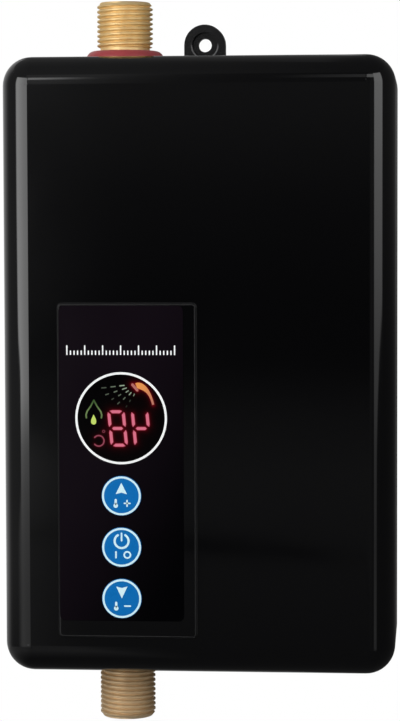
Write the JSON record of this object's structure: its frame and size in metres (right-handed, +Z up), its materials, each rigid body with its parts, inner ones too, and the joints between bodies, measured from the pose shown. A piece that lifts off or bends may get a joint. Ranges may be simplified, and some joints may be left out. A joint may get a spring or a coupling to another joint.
{
  "type": "tankless electric water heater",
  "caption": "Flat black wall-hung instant water heater with threaded brass pipe ends above and below, a hanging ear, a round display and push buttons on a raised panel.",
  "frame": {"origin": "middle of the flat back that lies on the wall", "axes": "+Z up along the pipe fittings, +Y into the wall, so the front faces -Y, and +X to the right seen from the front"},
  "size_m": [0.145, 0.0618, 0.2708],
  "materials": {
    "case_black": "polished black ABS moulding",
    "overlay_black": "black printed polycarbonate sheet",
    "smoked_window": "smoked polycarbonate lens",
    "seal_rubber": "moulded black rubber",
    "screw_steel": "zinc plated steel",
    "key_blue": "blue moulded plastic with a white printed rim",
    "white_plastic": "white moulded nylon",
    "black_plastic": "black glass filled nylon",
    "circuit_board": "green solder resist on glass fibre board",
    "pipe_brass": "machined brass",
    "ring_red": "crimson silicone rubber",
    "tank_steel": "drawn stainless steel",
    "turbine_blue": "blue moulded plastic",
    "insulator_white": "fired steatite",
    "transformer_tape": "yellow polyester tape over a winding",
    "sink_aluminium": "extruded aluminium",
    "lead_red": "red silicone lead",
    "lead_blue": "blue silicone lead",
    "lead_black": "black lead"
  },
  "bodies": {
    "casing": {"rear_shell": "case_black", "front_cover": "case_black", "casing_seal": "seal_rubber", "casing_screws": "screw_steel", "panel_overlay": "overlay_black", "display_window": "smoked_window", "key_switches": "black_plastic", "display_board": "circuit_board", "display_board_screws": "screw_steel", "digit_display": "white_plastic", "indicator_lamps": "white_plastic", "display_plug": "white_plastic", "outlet_nipple": "pipe_brass", "inlet_nipple": "pipe_brass", "outlet_ring": "ring_red", "inlet_grommet": "seal_rubber", "inlet_strainer": "tank_steel", "spigot_o_rings": "seal_rubber", "tank_o_rings": "seal_rubber", "flow_body": "white_plastic", "lower_carrier": "white_plastic", "upper_carrier": "white_plastic", "turbine_spindle": "screw_steel", "pulse_sensor": "black_plastic", "tank_tube": "tank_steel", "tank_top_head": "black_plastic", "tank_bottom_head": "black_plastic", "heating_element": "tank_steel", "terminal_insulators": "insulator_white", "terminal_pins": "screw_steel", "tank_straps": "tank_steel", "strap_screws": "screw_steel", "thermal_cutout": "black_plastic", "cutout_screws": "screw_steel", "temperature_probe": "pipe_brass", "control_board": "circuit_board", "control_board_screws": "screw_steel", "relay": "turbine_blue", "transformer": "transformer_tape", "capacitor": "black_plastic", "heat_sink": "sink_aluminium", "power_switch": "black_plastic", "board_plugs": "white_plastic", "terminal_block": "white_plastic", "terminal_screws": "pipe_brass", "cord_grommet": "seal_rubber", "cord_clamp": "white_plastic", "cord_clamp_screws": "screw_steel", "heater_leads": "lead_red", "mains_leads": "lead_blue", "sensor_leads": "lead_black", "display_cable": "lead_black"},
    "up_key": {"up_button": "key_blue", "up_plunger": "white_plastic"},
    "power_key": {"power_button": "key_blue", "power_plunger": "white_plastic"},
    "down_key": {"down_button": "key_blue", "down_plunger": "white_plastic"},
    "turbine": {"flow_turbine": "turbine_blue"}
  },
  "joints": [
    {"name": "up_press", "type": "slide", "parent": "casing", "child": "up_key", "axis": [0, 1, 0], "range_m": [0, 0.0006], "stiffness_N_per_m": 1500, "springref_m": -0.0006},
    {"name": "power_press", "type": "slide", "parent": "casing", "child": "power_key", "axis": [0, 1, 0], "range_m": [0, 0.0006], "stiffness_N_per_m": 1500, "springref_m": -0.0006},
    {"name": "down_press", "type": "slide", "parent": "casing", "child": "down_key", "axis": [0, 1, 0], "range_m": [0, 0.0006], "stiffness_N_per_m": 1500, "springref_m": -0.0006},
    {"name": "turbine_spin", "type": "hinge", "parent": "casing", "child": "turbine", "pos_m": [-0.02975, -0.0262, -0.082], "axis": [0, 0, 1], "continuous": true}
  ]
}
